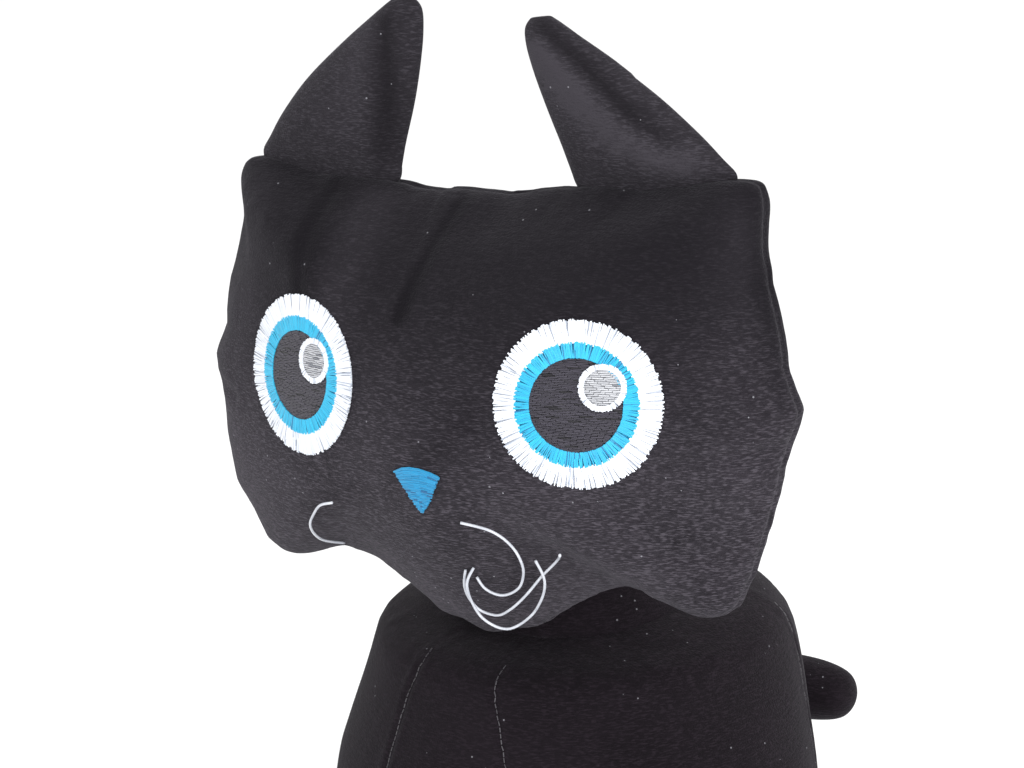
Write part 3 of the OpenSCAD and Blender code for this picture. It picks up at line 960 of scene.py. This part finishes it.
@dataclass
class Embroidery:
    """The two eyes and the nose, sewn stitch by stitch on the face."""

    head: Head
    eye_x: float = 38.5
    eye_h: float = 68.5
    nudge: float = 1.0
    radius: float = 20
    turn: float = math.radians(17)
    white_in: float = 0.73
    iris_in: float = 0.56
    shine: float = 0.28
    shift: tuple[float, float] = (0.31, 0.22)
    thread: float = 0.00040

    def spot(self, side: Side, u: float, v: float, lift: float) -> np.ndarray:
        """A point of an eye.

        Args:
            side: Which eye.
            u: Millimetres across from its middle.
            v: Millimetres up from its middle.
            lift: Millimetres in front of the face.

        Returns:
            The point in metres.
        """
        nudge = self.nudge if side is Side.LEFT else 0
        across = side.value * self.eye_x + nudge + u * math.cos(self.turn)
        return self.head.on_face(across, self.eye_h + v, lift)

    def ground(self, name: str, side: Side, low: float, high: float, lift: float,
               shift: tuple[float, float], finish: ThreadFinish) -> bpy.types.Object:
        """A thin closed ring or disc that backs the stitches.

        Args:
            name: Name of the new piece.
            side: Which eye.
            low: Its inner radius in millimetres.
            high: Its outer radius.
            lift: Its thickness.
            shift: Its place from the eye's middle.
            finish: Its finish.

        Returns:
            The ring or disc.
        """
        turns, shade_value = 64, 0.3
        layers = []
        for radius, rise in ((low, 0.0), (low, lift), (high, lift), (high, 0.0)):
            layers.append([self.spot(side, shift[0] + radius * math.cos(2 * math.pi * i / turns),
                                     shift[1] + radius * math.sin(2 * math.pi * i / turns), rise)
                           for i in range(turns)])
        points = [tuple(p) for layer in layers for p in layer]
        faces = []
        for k in range(4):
            following = (k + 1) % 4
            for i in range(turns):
                j = (i + 1) % turns
                faces.append((k * turns + i, k * turns + j, following * turns + j, following * turns + i))
        piece = mesh_object(name, points, faces)
        shade = piece.data.attributes.new("shade", "FLOAT", "POINT")
        shade.data.foreach_set("value", np.full(len(piece.data.vertices), shade_value))
        dress(piece, finish)
        return piece

    def radial(self, side: Side, low: float, high: float, count: int, ragged: float,
               lift: float, shift: tuple[float, float], seed: int) -> list:
        """Ends of satin stitches that run outwards round an eye.

        Args:
            side: Which eye.
            low: Inner radius in millimetres.
            high: Outer radius.
            count: Number of stitches.
            ragged: How uneven their ends are.
            lift: Millimetres in front of the face.
            shift: Middle of the ring from the eye's middle.
            seed: Seed of the unevenness.

        Returns:
            The two ends of each stitch.
        """
        draw = np.random.default_rng(seed)
        uneven, slant, missing = 0.25, 0.03, 0.03
        inward, outward = 0.6, 0.5
        ends = []
        for i in range(count):
            angle = 2 * math.pi * (i + draw.uniform(-uneven, uneven)) / count
            lean = draw.uniform(-slant, slant)
            r0 = low - draw.uniform(0, ragged * inward)
            r1 = high + draw.uniform(-ragged, ragged * outward)
            if draw.random() < missing:
                continue
            ends.append(tuple(
                self.spot(side, shift[0] + r * math.cos(a), shift[1] + r * math.sin(a), lift)
                for r, a in ((r0, angle), (r1, angle + lean))))
        return ends

    def fill(self, side: Side, radius: float, row: float, length: float, lift: float,
             shift: tuple[float, float], seed: int) -> list:
        """Ends of short rows of stitches that fill a disc.

        Args:
            side: Which eye.
            radius: The disc's radius in millimetres.
            row: Distance between two rows.
            length: Length of a stitch with its gap.
            lift: Millimetres in front of the face.
            shift: Middle of the disc from the eye's middle.
            seed: Seed of the rows' wave.

        Returns:
            The two ends of each stitch.
        """
        draw = np.random.default_rng(seed)
        stitch_share, shortest, sway = 0.94, 0.5, 0.12
        ends = []
        for k, v in enumerate(np.arange(-radius + row / 2, radius, row)):
            half = math.sqrt(max(0, radius ** 2 - v ** 2))
            u = -half - (k % 3) * length / 3
            while u < half:
                a, b = max(u, -half), min(u + length * stitch_share, half)
                if b - a > shortest:
                    wave = draw.uniform(-sway, sway)
                    ends.append((self.spot(side, shift[0] + a, shift[1] + v - wave, lift),
                                 self.spot(side, shift[0] + b, shift[1] + v + wave, lift)))
                u += length
        return ends

    def build_eye(self, side: Side) -> list[tuple[bpy.types.Object, str]]:
        """Sew one eye.

        Args:
            side: Which eye.

        Returns:
            Its pieces, each with the node that it stands for.
        """
        word, big, here = side.word, self.radius, (0.0, 0.0)
        seed = 10 if side is Side.LEFT else 40
        mid_low, mid_high = big * self.iris_in, big * self.white_in
        spark = (self.shift[0] * big, self.shift[1] * big)
        # Each plan is a node, its radii, finish and thickness, its place and what sews it.
        plans = (
            ("eye_white", mid_high, big - 0.3, WHITE_THREAD, 0.30, here,
             lambda: self.radial(side, mid_high, big, 560, 0.45, 0.55, here, seed)),
            ("eye_iris", mid_low, mid_high, BLUE_THREAD, 0.32, here,
             lambda: self.radial(side, mid_low, mid_high + 0.2, 430, 0.3, 0.66, here, seed + 1)),
            ("eye_pupil", 0.05, mid_low, DARK_THREAD, 0.26, here,
             lambda: self.fill(side, mid_low - 0.1, 0.40, 3.0, 0.45, here, seed + 2)))
        made = []
        for name, low, high, finish, lift, shift, plan in plans:
            ground = self.ground(f"{name}_ground", side, low, high, lift, shift, finish)
            threads = sew(f"{name}_threads", plan(), self.thread, finish, seed + len(made))
            made.append((merge(f"{name}_{word}_sewn", [ground, threads]), f"{name}_{word}"))
        small = big * self.shine
        ground = self.ground("shine_ground", side, 0.05, small - 0.6, 0.62, spark, GREY_THREAD)
        rows = sew("shine_rows", self.fill(side, small - 1.0, 0.5, 2.6, 0.85, spark, seed + 5),
                   self.thread, GREY_THREAD, seed + 5)
        rim = sew("shine_rim", self.radial(side, small - 1.3, small, 150, 0.2, 0.95, spark, seed + 6),
                  self.thread, WHITE_THREAD, seed + 6)
        made.append((merge(f"eye_highlight_{word}_sewn", [ground, rows, rim]), f"eye_highlight_{word}"))
        return made

    def build_nose(self) -> bpy.types.Object:
        """Sew the nose as wavy rows across a rounded triangle.

        Returns:
            The nose's stitches.
        """
        draw = np.random.default_rng(70)
        top, height, half, parts = 49.3, 9.6, 6.2, 5
        row, sway, thread = 0.34, 0.12, 0.00046
        ends = []
        for layer, lift in ((0, 0.35), (1, 0.55)):
            for v in np.arange(0, height, row):
                share = v / height
                left = half * (1 - share) ** 0.62 + draw.uniform(-0.2, 0.3)
                right = half * (1 - share) ** 0.9 + draw.uniform(-0.2, 0.3)
                across = np.linspace(-right, left, parts + 1)
                crown = 1.5 * (1 - share) * (1 - (across / half) ** 2)
                rows = top - v - row / 2 * layer + crown + draw.uniform(-sway, sway, parts + 1)
                spots = [self.head.on_face(x, h, lift) for x, h in zip(across, rows)]
                ends.extend(zip(spots, spots[1:]))
        return sew("nose_sewn", ends, thread, NOSE_THREAD, 71)


@dataclass
class Whiskers:
    """Curled nylon strands, held by their roots beside the mouth."""

    head: Head
    radius: float = 0.36
    left_shift: float = 1.2
    root_lift: float = 0.7
    # Each strand is a route of x, height above the chin and distance in front of the face.
    left: tuple = (
        ((6.5, 21, 0), (8.5, 18, 2), (12.5, 16.5, 3), (17.5, 19.5, 3.5), (20.5, 25.5, 3.5),
         (20, 31.5, 3), (16.5, 36, 2.5), (9.5, 38, 2)),
        ((4.5, 23, 0), (3, 18.5, 1.5), (2.5, 14, 2), (4.5, 10.5, 3), (9, 10, 4), (14, 13, 5),
         (19.5, 18, 5.5), (25, 24, 5), (33, 31.5, 4)),
        ((7, 24, 0), (5.5, 20, 3.5), (4.5, 14, 4.5), (6, 8.5, 6), (11, 6.5, 7), (17, 10, 7.5),
         (22.5, 16, 8), (26, 23, 7.5), (26, 29, 6.5)))
    right: tuple = (
        ((-41.5, 19.5, -0.6), (-43, 22, 2.2), (-41.5, 27.5, 2), (-38, 32, 1.5), (-34, 35.5, 1.5),
         (-29.5, 37, 1.5)),)

    def build(self, side: Side) -> bpy.types.Object:
        """Bend one side's strands as round tubes.

        Args:
            side: Which side of the face.

        Returns:
            The strands as one piece.
        """
        strands = []
        for number, route in enumerate(self.left if side is Side.LEFT else self.right):
            line = []
            for x, h, lift in smooth_line(route, 6):
                x += self.left_shift if side is Side.LEFT else 0
                surface = self.head.on_face(x, h, 0) / MM
                line.append(surface + np.array([0, -self.root_lift - lift, 0]))
            rings = tube_rings(np.array(line), [self.radius] * len(line), 8)
            strands.append(closed_loft(rings, f"strand_{number}"))
        piece = merge(f"whiskers_{side.word}_strands", strands)
        dress(piece, NYLON)
        return piece


# ---- Ears ----


@dataclass
class Ear:
    """One flat stuffed ear, sewn into the head's top seam."""

    side: Side
    height: float = 43
    tilt: float = math.radians(5.8)
    lean: float = 5.5
    base: tuple[float, float] = (47, 118.3)
    hollow: float = 1.8
    fold_depth: float = 1.0
    fold_width: float = 2.2
    # Each station is a height above the base seam, the inner and outer edge and half the thickness.
    stations: tuple = (
        (-4, -20, 20, 1.6), (0, -22, 21, 3.4), (4, -22.8, 18.5, 5.6), (10.75, -24.2, 14, 7),
        (20.2, -26.5, 6, 6), (30.1, -28.5, -5, 4.6), (37, -29, -13.5, 3.4), (40.9, -28.5, -18.5, 2.4),
        (43, -26.5, -21.5, 1.0))

    def place(self, u: float, w: float, out: float) -> tuple[float, float, float]:
        """A point of the ear.

        Args:
            u: Millimetres outwards along its base seam.
            w: Millimetres up from the seam.
            out: Millimetres behind its middle plane.

        Returns:
            The point in millimetres.
        """
        x = self.base[0] + u * math.cos(self.tilt) - w * math.sin(self.tilt)
        z = CHIN + self.base[1] + u * math.sin(self.tilt) + w * math.cos(self.tilt)
        return self.side.value * x, SEAM - self.lean * w / self.height + out, z

    def build(self) -> bpy.types.Object:
        """Make the ear, fill it and press its long fold into the front.

        Returns:
            The ear.
        """
        edge = 0.25
        rings = []
        stretch = 0.94 if self.side is Side.LEFT else 1.04
        for w, inner, outer, half in smooth_line(self.stations, 4):
            share = np.linspace(-1, 1, 21)
            body = half * (1 - share ** 2) ** 0.6
            if self.side is Side.LEFT:
                outer -= self.hollow * math.sin(math.pi * min(1, max(0, w) / self.height))
            u = (inner + outer) / 2 + share * (outer - inner) / 2
            front = [self.place(a, w * stretch, -b - edge) for a, b in zip(u, body)]
            rear = [self.place(a, w * stretch, b + edge) for a, b in zip(u[::-1], body[::-1])]
            rings.append(np.array(front + rear))
        piece = closed_loft(rings, f"ear_{self.side.word}_pad")
        stuff(piece, cap=0.0008, levels=1)
        push(piece, self.fold_depths)
        brush_pile(piece, self.bands(), SEAM - 1)
        dress(piece, EAR_PILE)
        return piece

    def fold_depths(self, place: np.ndarray) -> np.ndarray:
        """Depth of the long fold on the ear's front.

        Args:
            place: Places in millimetres.

        Returns:
            How far each place moves outwards.
        """
        x, y, z = place[:, 0] * self.side.value, place[:, 1], place[:, 2]
        seam_height, fade_end, fade = 208, 244, 8
        front = y < SEAM - self.lean * (z - seam_height) / self.height
        below_tip = np.clip((fade_end - z) / fade, 0, 1)
        crease = fold(line_distance(x, z, self.fold_line()), self.fold_depth, self.fold_width)
        return np.where(front, crease * below_tip, 0)

    def fold_line(self) -> Line:
        """The long fold on the ear's front.

        Returns:
            The fold's corners, as millimetres outwards and up.
        """
        if self.side is Side.LEFT:
            return (21, 243), (32, 234), (42.6, 224.5), (52, 217)
        return (22.7, 244), (23.9, 227), (26.5, 210)

    def bands(self) -> Sequence[Band]:
        """Bands of painted highlight beside the fold and painted shade in it.

        Returns:
            The two bands.
        """
        sign = self.side.value
        dark = tuple((sign * x, z) for x, z in self.fold_line())
        if self.side is Side.LEFT:
            pale = tuple((x - 2.5, z - 6) for x, z in dark[:3]) + ((58, 211.5),)
            return (pale, 4.4, 2.0), (dark, 2.8, -0.85)
        pale = tuple((x - 9, z - 1) for x, z in dark)
        return (pale, 4.0, 0.25), (dark, 3.4, -0.7)


# ---- Body ----


@dataclass
class Body:
    """The stuffed body with its chest wedge, back seams, neck, paws and tail."""

    # Each station is a height, half the width, the front and back y, the taper and the tilt.
    stations: tuple = (
        (0, 58, -54, 54, 0, 0), (5, 64, -59, 59, 0, 0), (16, 68, -62, 62, 0, 0),
        (30, 68.5, -62.5, 61.5, 0, 0), (45, 66.5, -62, 61.5, 0.02, 0), (60, 62, -59.5, 63, 0.05, 0),
        (72, 58.5, -56.5, 64.5, 0.06, 0.5),
        (79, 56.5, -54.5, 63.5, 0.05, 1), (84, 55.5, -52, 62, 0.03, 1.5), (88, 53, -46.5, 58, 0, 3),
        (91, 46, -37, 49, 0, 4.5), (93, 30, -30, 24, 0, 2.5))
    gusset: tuple = (24, 24, 23, 22, 20, 18, 16, 14, 13, 13, 13, 13)
    back_seam: float = 110
    chin_room: float = 2.2
    chest_turn: tuple[float, float] = (-2, -6)

    def column(self, number: int, z: float) -> float:
        """One of the stations' columns at a height."""
        return float(np.interp(z, [s[0] for s in self.stations], [s[number] for s in self.stations]))

    def point(self, z: float, angle: float) -> np.ndarray:
        """A point of the body's surface.

        Args:
            z: The height in millimetres.
            angle: The angle from the front in degrees.

        Returns:
            The point in millimetres.
        """
        wide, front, rear, taper, tilt = (self.column(k, z) for k in range(1, 6))
        turn = math.radians(angle)
        x = wide * math.sin(turn) * (1 - taper * math.cos(turn))
        y = (front + rear) / 2 - (rear - front) / 2 * math.cos(turn)
        return np.array([x, y, z - tilt * math.cos(turn)])

    def gusset_at(self, z: float) -> float:
        """Half angle of the chest wedge at a height."""
        return float(np.interp(z, [s[0] for s in self.stations], self.gusset))

    def seam_lines(self) -> list[np.ndarray]:
        """The chest wedge's two seams and the back panel's two seams, from the base upwards.

        Returns:
            The points of each seam in millimetres.
        """
        heights = np.linspace(2, 91, 60)
        lines = []
        for sign in (1, -1):
            turn = np.interp(heights, (0, 75), self.chest_turn)
            lines.append(np.array([self.point(z, sign * self.gusset_at(z) + t)
                                   for z, t in zip(heights, turn)]))
            lines.append(np.array([self.point(z, sign * self.back_seam) for z in heights]))
        return lines

    def build(self) -> bpy.types.Object:
        """Make the body, fill it and sink its seams.

        Returns:
            The body.
        """
        heights = (0, 2, 5, 10, 16, 23, 30, 38, 45, 53, 60, 66, 72, 76, 79, 82, 84, 86, 88, 90, 91, 92, 93)
        turns = np.arange(96) * 360 / 96
        rings = [np.array([self.point(z, a) for a in turns]) for z in heights]
        piece = closed_loft(rings, "body_pillow")
        stuff(piece, cap=0.0011, voxel=0.005, levels=2)
        values = coordinates(piece.data)
        shoulder_start, shoulder_fade = 80, 8
        shoulder = np.clip((values[:, 2] / MM - shoulder_start) / shoulder_fade, 0, 1)
        values[:, 2] -= shoulder * self.chin_room * MM
        set_coordinates(piece.data, values)
        rest_flat(piece)
        lines = self.seam_lines()

        def seams(place: np.ndarray) -> np.ndarray:
            """Depth of the seams at each place.

            Args:
                place: Places in millimetres.

            Returns:
                How far each place moves outwards.
            """
            seam_depth, seam_width, lowest = 0.5, 1.0, 1
            depth = np.zeros(len(place))
            for line in lines:
                near = np.full(len(place), 1e9)
                for a, b in zip(line, line[1:]):
                    span = b - a
                    along = np.clip((place - a) @ span / (span @ span), 0, 1)
                    near = np.minimum(near, np.linalg.norm(place - a - along[:, None] * span, axis=1))
                depth += fold(near, seam_depth, seam_width)
            return np.where(place[:, 2] > lowest, depth, 0)

        push(piece, seams)
        dress(piece, BODY_PILE)
        return piece

    def build_seam_stitches(self, surface: BVHTree) -> bpy.types.Object:
        """Sew small stitches along the body's four seams.

        Args:
            surface: The body's surface.

        Returns:
            The stitches.
        """
        lift, stitch_share, thread = 0.0001, 1.5, 0.0003
        ends = []
        for line in self.seam_lines():
            fine = smooth_line(line, 2)[4:-4]
            for a, b in zip(fine[::2], fine[1::2]):
                spots = []
                for point in (a, a + (b - a) * stitch_share):
                    place, normal, _, _ = surface.find_nearest(Vector(point * MM))
                    spots.append(np.array(place + normal * lift))
                ends.append(tuple(spots))
        return sew("body_seam_stitches", ends, thread, SEAM_THREAD, 90)

    def build_neck(self) -> bpy.types.Object:
        """Make the short stuffed neck between body and head.

        Returns:
            The neck.
        """
        rings = []
        sides = 40
        around = np.linspace(0, 2 * np.pi, sides, endpoint=False)
        # Each place on the neck is a height, the y of its middle and a radius.
        route = ((82, -1, 22), (86, -1, 33), (91, -2, 33), (98, -5, 28), (106, -10, 25), (114, -16, 23),
                 (121, -21, 20), (126, -25, 12))
        for z, middle, radius in smooth_line(route, 3):
            rings.append(np.stack([radius * np.cos(around), middle + radius * np.sin(around),
                                   np.full(sides, z)], 1))
        piece = closed_loft(rings, "neck_pad")
        stuff(piece, cap=0.001, voxel=0.004, levels=1)
        dress(piece, BODY_PILE)
        return piece

    def build_paw(self, name: str, middle: tuple[float, float], half: tuple[float, float],
                  height: float) -> bpy.types.Object:
        """Make one rounded stuffed paw that rests on its sole.

        Args:
            name: Name of the new piece.
            middle: x and y of its middle in millimetres.
            half: Half its width and half its length.
            height: Its height.

        Returns:
            The paw.
        """
        rings = []
        around = np.linspace(0, 2 * np.pi, 36, endpoint=False)
        sole = {0: 0.92, 0.05: 0.96}
        for level in (0, 0.05, 0.2, 0.42, 0.65, 0.83, 0.94, 0.99):
            wide = sole.get(level, (1 - level ** 3.2) ** 0.6)
            rings.append(np.stack([middle[0] + half[0] * wide * np.sin(around),
                                   middle[1] - half[1] * wide * np.cos(around),
                                   level * height * (1 - 0.22 * np.cos(around))], 1))
        piece = closed_loft(rings, name)
        stuff(piece, cap=0.0008, voxel=0.0025, levels=1)

        def toes(place: np.ndarray) -> np.ndarray:
            """Depth of the two stitched lines between the toes.

            Args:
                place: Places in millimetres.

            Returns:
                How far each place moves outwards.
            """
            start_share, fade, line_depth, line_width, lowest = 0.35, 4, 0.9, 1.0, 2
            front = np.clip((middle[1] - start_share * half[1] - place[:, 1]) / fade, 0, 1)
            depth = np.zeros(len(place))
            for share in (-0.33, 0.33):
                beside = np.abs(place[:, 0] - middle[0] - share * half[0])
                depth += fold(beside, line_depth, line_width)
            return depth * front * (place[:, 2] > lowest)

        push(piece, toes)
        rest_flat(piece)
        dress(piece, BODY_PILE)
        return piece

    def build_tail(self) -> bpy.types.Object:
        """Make the curved tail, with its root sunk in the body.

        Returns:
            The tail.
        """
        height, sides = 40.0, 28
        # Each place on the tail is an x, a y and a radius.
        route = ((4, 57, 10), (4, 65, 10.2), (5.5, 73, 10.2), (9.5, 79, 10), (16, 84, 10), (23.5, 86.5, 9.8),
                 (31.5, 87.3, 9.4), (38, 87, 8.6), (43, 86.6, 7), (45.4, 86.4, 4.4), (46.4, 86.3, 1.5))
        line = smooth_line(route, 4)
        spine = np.stack([line[:, 0], line[:, 1], np.full(len(line), height)], 1)
        piece = closed_loft(tube_rings(spine, line[:, 2], sides), "tail_pad")
        stuff(piece, cap=0.0006, levels=1)

        def seam(place: np.ndarray) -> np.ndarray:
            """Depth of the seam round the tail's middle height.

            Args:
                place: Places in millimetres.

            Returns:
                How far each place moves outwards.
            """
            depth, width, start_y, end_x = 0.3, 0.9, 66, 40
            shows = (place[:, 1] > start_y) * (place[:, 0] < end_x)
            return -depth * np.exp(-((place[:, 2] - height) / width) ** 2) * shows

        push(piece, seam)
        dress(piece, BODY_PILE)
        return piece


# ---- Studio ----


@dataclass
class Studio:
    """A pale floor, soft lights and the camera."""

    target: tuple[float, float, float] = (4.71, -38.17, 154.6)
    azimuth: float = math.radians(31)
    elevation: float = math.radians(12)
    roll: float = math.radians(-0.9)
    distance: float = 0.575
    lens: float = 80.86

    def build(self) -> None:
        """Make the floor, the lights and the camera."""
        scene = bpy.context.scene
        scene.view_settings.view_transform = "Standard"
        reach, under = 60, -0.0002
        corners = [(x * reach, y * reach, under) for x, y in ((-1, -1), (1, -1), (1, 1), (-1, 1))]
        floor = mesh_object("floor", corners, [(0, 1, 2, 3)])
        paint, shader = new_material("pale_floor", 0.9)
        shader.inputs["Base Color"].default_value = (0.97, 0.97, 0.97, 1)
        floor.data.materials.append(paint)
        world = bpy.data.worlds.new("soft_room")
        world.use_nodes = True
        world.node_tree.nodes["Background"].inputs["Color"].default_value = (1, 1, 1, 1)
        world.node_tree.nodes["Background"].inputs["Strength"].default_value = 1.05
        scene.world = world
        aim = Vector((0, 0, 0.13))
        lights = (("key", (0.9, -0.8, 0.4), 9, 0.7), ("fill", (-0.9, -0.7, 0.5), 0.6, 1.0),
                  ("top", (0.3, 0.3, 1.3), 3, 0.9))
        for name, place, power, size in lights:
            light = bpy.data.objects.new(name, bpy.data.lights.new(name, "AREA"))
            light.data.energy = power
            light.data.size = size
            light.location = place
            light.rotation_euler = (aim - Vector(place)).to_track_quat("-Z", "Y").to_euler()
            scene.collection.objects.link(light)
        self.build_camera()

    def build_camera(self) -> None:
        """Aim the camera at the head's middle with its slight roll."""
        a, e, r = self.azimuth, self.elevation, self.roll
        right = Vector((math.cos(a), math.sin(a), 0))
        up = Vector((-math.sin(a) * math.sin(e), math.cos(a) * math.sin(e), math.cos(e)))
        back = right.cross(up)
        x_axis = right * math.cos(r) + up * math.sin(r)
        y_axis = up * math.cos(r) - right * math.sin(r)
        place = Vector(self.target) * MM + back * self.distance
        camera = bpy.data.objects.new("camera", bpy.data.cameras.new("camera"))
        camera.data.lens = self.lens
        camera.data.sensor_width = 36
        camera.data.clip_start = 0.01
        turn = Matrix((x_axis, y_axis, back)).transposed().to_4x4()
        camera.matrix_world = Matrix.Translation(place) @ turn
        bpy.context.scene.collection.objects.link(camera)
        bpy.context.scene.camera = camera


def keep(piece: bpy.types.Object, body: str, nodes: Sequence[str]) -> None:
    """Make a piece ride on a body and stand for its nodes.

    Args:
        piece: The finished piece.
        body: The body that it moves with.
        nodes: The nodes that it stands for.
    """
    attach(piece, body)
    finish_piece(piece, nodes)


def finish_piece(piece: bpy.types.Object, nodes: Sequence[str]) -> None:
    """Hide the nodes that a placed piece stands for and log its face count.

    Args:
        piece: The finished piece.
        nodes: The nodes that it stands for.
    """
    if nodes:
        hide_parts(*nodes)
    LOG.info("%s: %d faces", piece.name, len(piece.data.polygons))


def main() -> None:
    """Build every piece in order."""
    logging.basicConfig(level=logging.INFO, format="%(name)s %(message)s")
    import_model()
    Studio().build()
    body = Body()
    pillow = body.build()
    surface = BVHTree.FromObject(pillow, bpy.context.evaluated_depsgraph_get())
    keep(pillow, "torso", ["body_side_left", "body_side_right", "chest_gusset", "back_panel",
                           "base_panel", "body_stuffing"])
    keep(body.build_seam_stitches(surface), "torso", [])
    for side in Side:
        sign, word = side.value, side.word
        keep(body.build_paw(f"front_paw_{word}_pad", (sign * 22, -60), (15, 23), 24), "torso",
             [f"front_paw_{word}"])
        keep(body.build_paw(f"hind_paw_{word}_pad", (sign * 54, -43), (15, 24), 21), "torso",
             [f"hind_paw_{word}"])
    keep(body.build_neck(), "neck", ["neck_stuffing"])
    tail = body.build_tail()
    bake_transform(tail)
    finish_piece(tail, ["tail_upper_panel", "tail_lower_panel", "tail_stuffing"])
    head = Head()
    keep(head.build(), "head", ["face_panel", "head_back_panel", "head_stuffing"])
    sewing = Embroidery(head)
    for side in Side:
        for piece, node in sewing.build_eye(side):
            keep(piece, "head", [node])
        keep(Whiskers(head).build(side), "head", [f"whiskers_{side.word}"])
        ear = Ear(side)
        pad = ear.build()
        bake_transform(pad)
        finish_piece(pad, [f"ear_{side.word}_{layer}" for layer in ("front", "back", "batting")])
    keep(sewing.build_nose(), "head", ["nose_embroidery"])


if __name__ == "__main__":
    main()
